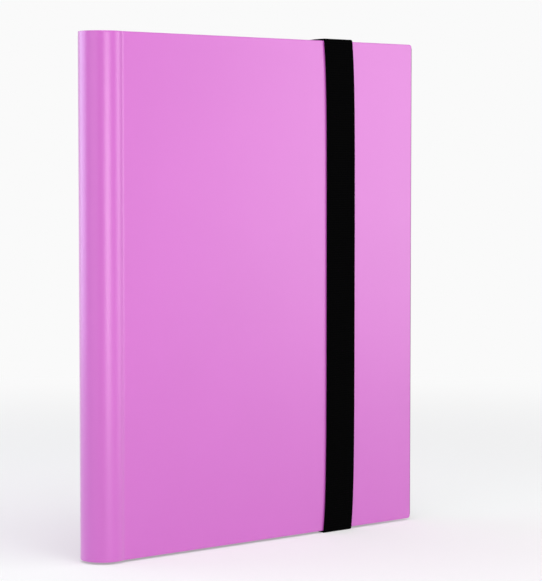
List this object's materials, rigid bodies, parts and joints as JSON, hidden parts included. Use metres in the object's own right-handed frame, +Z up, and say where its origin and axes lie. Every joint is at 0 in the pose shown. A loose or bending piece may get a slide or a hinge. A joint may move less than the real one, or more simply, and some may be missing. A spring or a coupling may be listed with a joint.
{
  "type": "trading card binder",
  "caption": "Closed card binder with a rounded spine, flexible sheet covers, pages of side-loading clear pockets, and a wide black elastic strap around the fore-edge side.",
  "frame": {"origin": "centre of the bounding box's base, with the binder standing closed on its bottom edges", "axes": "+X from the spine to the fore edge, +Y from the front cover to the back cover, +Z up along the spine"},
  "size_m": [0.265, 0.028, 0.3228],
  "materials": {
    "cover_sheet": "satin orchid pink polypropylene sheet",
    "binding_strip": "black extruded polypropylene",
    "page_divider": "black polypropylene sheet with a fine grain",
    "pocket_film": "clear soft film, welded in a grid",
    "strap": "black woven elastic webbing",
    "anchor_plate": "black moulded plastic",
    "rivet": "nickel plated tubular rivet"
  },
  "bodies": {
    "spine": {"spine_shell": "cover_sheet", "binding_strip": "binding_strip"},
    "front_cover": {"front_cover": "cover_sheet"},
    "back_cover": {"back_cover": "cover_sheet", "strap_top_run": "strap", "strap_bottom_run": "strap", "strap_ends": "strap", "strap_anchor_plates": "anchor_plate", "strap_rivets": "rivet"},
    "strap": {"strap_front_run": "strap"},
    "page_01": {"page_01_divider": "page_divider", "page_01_pockets": "pocket_film"},
    "page_02": {"page_02_divider": "page_divider", "page_02_pockets": "pocket_film"},
    "page_03": {"page_03_divider": "page_divider", "page_03_pockets": "pocket_film"},
    "page_04": {"page_04_divider": "page_divider", "page_04_pockets": "pocket_film"},
    "page_05": {"page_05_divider": "page_divider", "page_05_pockets": "pocket_film"},
    "page_06": {"page_06_divider": "page_divider", "page_06_pockets": "pocket_film"},
    "page_07": {"page_07_divider": "page_divider", "page_07_pockets": "pocket_film"},
    "page_08": {"page_08_divider": "page_divider", "page_08_pockets": "pocket_film"},
    "page_09": {"page_09_divider": "page_divider", "page_09_pockets": "pocket_film"},
    "page_10": {"page_10_divider": "page_divider", "page_10_pockets": "pocket_film"},
    "page_11": {"page_11_divider": "page_divider", "page_11_pockets": "pocket_film"},
    "page_12": {"page_12_divider": "page_divider", "page_12_pockets": "pocket_film"},
    "page_13": {"page_13_divider": "page_divider", "page_13_pockets": "pocket_film"},
    "page_14": {"page_14_divider": "page_divider", "page_14_pockets": "pocket_film"},
    "page_15": {"page_15_divider": "page_divider", "page_15_pockets": "pocket_film"},
    "page_16": {"page_16_divider": "page_divider", "page_16_pockets": "pocket_film"},
    "page_17": {"page_17_divider": "page_divider", "page_17_pockets": "pocket_film"},
    "page_18": {"page_18_divider": "page_divider", "page_18_pockets": "pocket_film"},
    "page_19": {"page_19_divider": "page_divider", "page_19_pockets": "pocket_film"},
    "page_20": {"page_20_divider": "page_divider", "page_20_pockets": "pocket_film"}
  },
  "joints": [
    {"name": "front_cover_hinge", "type": "hinge", "parent": "spine", "child": "front_cover", "pos_m": [-0.1109, -0.01265, 0.1614], "axis": [0, 0, -1], "range_deg": [0, 165]},
    {"name": "back_cover_hinge", "type": "hinge", "parent": "spine", "child": "back_cover", "pos_m": [-0.1109, 0.01265, 0.1614], "axis": [0, 0, 1], "range_deg": [0, 165]},
    {"name": "strap_retract", "type": "slide", "parent": "back_cover", "child": "strap", "axis": [0, 1, 0], "range_m": [0, 0.0215], "deforming": ["strap_front_run", "strap_top_run", "strap_bottom_run"]},
    {"name": "page_01_turn", "type": "hinge", "parent": "spine", "child": "page_01", "pos_m": [-0.10699, -0.00855, 0.1614], "axis": [0, 0, 1], "range_deg": [0, 8]},
    {"name": "page_02_turn", "type": "hinge", "parent": "spine", "child": "page_02", "pos_m": [-0.1062, -0.00765, 0.1614], "axis": [0, 0, 1], "range_deg": [0, 13.05]},
    {"name": "page_03_turn", "type": "hinge", "parent": "spine", "child": "page_03", "pos_m": [-0.10556, -0.00675, 0.1614], "axis": [0, 0, 1], "range_deg": [0, 18.11]},
    {"name": "page_04_turn", "type": "hinge", "parent": "spine", "child": "page_04", "pos_m": [-0.10502, -0.00585, 0.1614], "axis": [0, 0, 1], "range_deg": [0, 23.16]},
    {"name": "page_05_turn", "type": "hinge", "parent": "spine", "child": "page_05", "pos_m": [-0.10458, -0.00495, 0.1614], "axis": [0, 0, 1], "range_deg": [0, 28.21]},
    {"name": "page_06_turn", "type": "hinge", "parent": "spine", "child": "page_06", "pos_m": [-0.10423, -0.00405, 0.1614], "axis": [0, 0, 1], "range_deg": [0, 33.26]},
    {"name": "page_07_turn", "type": "hinge", "parent": "spine", "child": "page_07", "pos_m": [-0.10396, -0.00315, 0.1614], "axis": [0, 0, 1], "range_deg": [0, 38.32]},
    {"name": "page_08_turn", "type": "hinge", "parent": "spine", "child": "page_08", "pos_m": [-0.10376, -0.00225, 0.1614], "axis": [0, 0, 1], "range_deg": [0, 43.37]},
    {"name": "page_09_turn", "type": "hinge", "parent": "spine", "child": "page_09", "pos_m": [-0.10362, -0.00135, 0.1614], "axis": [0, 0, 1], "range_deg": [0, 48.42]},
    {"name": "page_10_turn", "type": "hinge", "parent": "spine", "child": "page_10", "pos_m": [-0.10356, -0.00045, 0.1614], "axis": [0, 0, 1], "range_deg": [0, 53.47]},
    {"name": "page_11_turn", "type": "hinge", "parent": "spine", "child": "page_11", "pos_m": [-0.10356, 0.00045, 0.1614], "axis": [0, 0, 1], "range_deg": [0, 58.53]},
    {"name": "page_12_turn", "type": "hinge", "parent": "spine", "child": "page_12", "pos_m": [-0.10362, 0.00135, 0.1614], "axis": [0, 0, 1], "range_deg": [0, 63.58]},
    {"name": "page_13_turn", "type": "hinge", "parent": "spine", "child": "page_13", "pos_m": [-0.10376, 0.00225, 0.1614], "axis": [0, 0, 1], "range_deg": [0, 68.63]},
    {"name": "page_14_turn", "type": "hinge", "parent": "spine", "child": "page_14", "pos_m": [-0.10396, 0.00315, 0.1614], "axis": [0, 0, 1], "range_deg": [0, 73.68]},
    {"name": "page_15_turn", "type": "hinge", "parent": "spine", "child": "page_15", "pos_m": [-0.10423, 0.00405, 0.1614], "axis": [0, 0, 1], "range_deg": [0, 78.74]},
    {"name": "page_16_turn", "type": "hinge", "parent": "spine", "child": "page_16", "pos_m": [-0.10458, 0.00495, 0.1614], "axis": [0, 0, 1], "range_deg": [0, 83.79]},
    {"name": "page_17_turn", "type": "hinge", "parent": "spine", "child": "page_17", "pos_m": [-0.10502, 0.00585, 0.1614], "axis": [0, 0, 1], "range_deg": [0, 88.84]},
    {"name": "page_18_turn", "type": "hinge", "parent": "spine", "child": "page_18", "pos_m": [-0.10556, 0.00675, 0.1614], "axis": [0, 0, 1], "range_deg": [0, 93.89]},
    {"name": "page_19_turn", "type": "hinge", "parent": "spine", "child": "page_19", "pos_m": [-0.1062, 0.00765, 0.1614], "axis": [0, 0, 1], "range_deg": [0, 98.95]},
    {"name": "page_20_turn", "type": "hinge", "parent": "spine", "child": "page_20", "pos_m": [-0.10699, 0.00855, 0.1614], "axis": [0, 0, 1], "range_deg": [0, 104]}
  ],
  "couplings": [
    {"joint": "strap_retract", "follows": "back_cover_hinge", "m_per_rad": 0.00746},
    {"joint": "page_01_turn", "follows": "back_cover_hinge", "ratio": 0.048484},
    {"joint": "page_02_turn", "follows": "back_cover_hinge", "ratio": 0.079108},
    {"joint": "page_03_turn", "follows": "back_cover_hinge", "ratio": 0.10973},
    {"joint": "page_04_turn", "follows": "back_cover_hinge", "ratio": 0.14035},
    {"joint": "page_05_turn", "follows": "back_cover_hinge", "ratio": 0.17097},
    {"joint": "page_06_turn", "follows": "back_cover_hinge", "ratio": 0.20159},
    {"joint": "page_07_turn", "follows": "back_cover_hinge", "ratio": 0.23222},
    {"joint": "page_08_turn", "follows": "back_cover_hinge", "ratio": 0.26283},
    {"joint": "page_09_turn", "follows": "back_cover_hinge", "ratio": 0.29346},
    {"joint": "page_10_turn", "follows": "back_cover_hinge", "ratio": 0.32408},
    {"joint": "page_11_turn", "follows": "back_cover_hinge", "ratio": 0.3547},
    {"joint": "page_12_turn", "follows": "back_cover_hinge", "ratio": 0.38533},
    {"joint": "page_13_turn", "follows": "back_cover_hinge", "ratio": 0.41595},
    {"joint": "page_14_turn", "follows": "back_cover_hinge", "ratio": 0.44657},
    {"joint": "page_15_turn", "follows": "back_cover_hinge", "ratio": 0.47719},
    {"joint": "page_16_turn", "follows": "back_cover_hinge", "ratio": 0.50781},
    {"joint": "page_17_turn", "follows": "back_cover_hinge", "ratio": 0.53843},
    {"joint": "page_18_turn", "follows": "back_cover_hinge", "ratio": 0.56906},
    {"joint": "page_19_turn", "follows": "back_cover_hinge", "ratio": 0.59968},
    {"joint": "page_20_turn", "follows": "back_cover_hinge", "ratio": 0.6303}
  ]
}
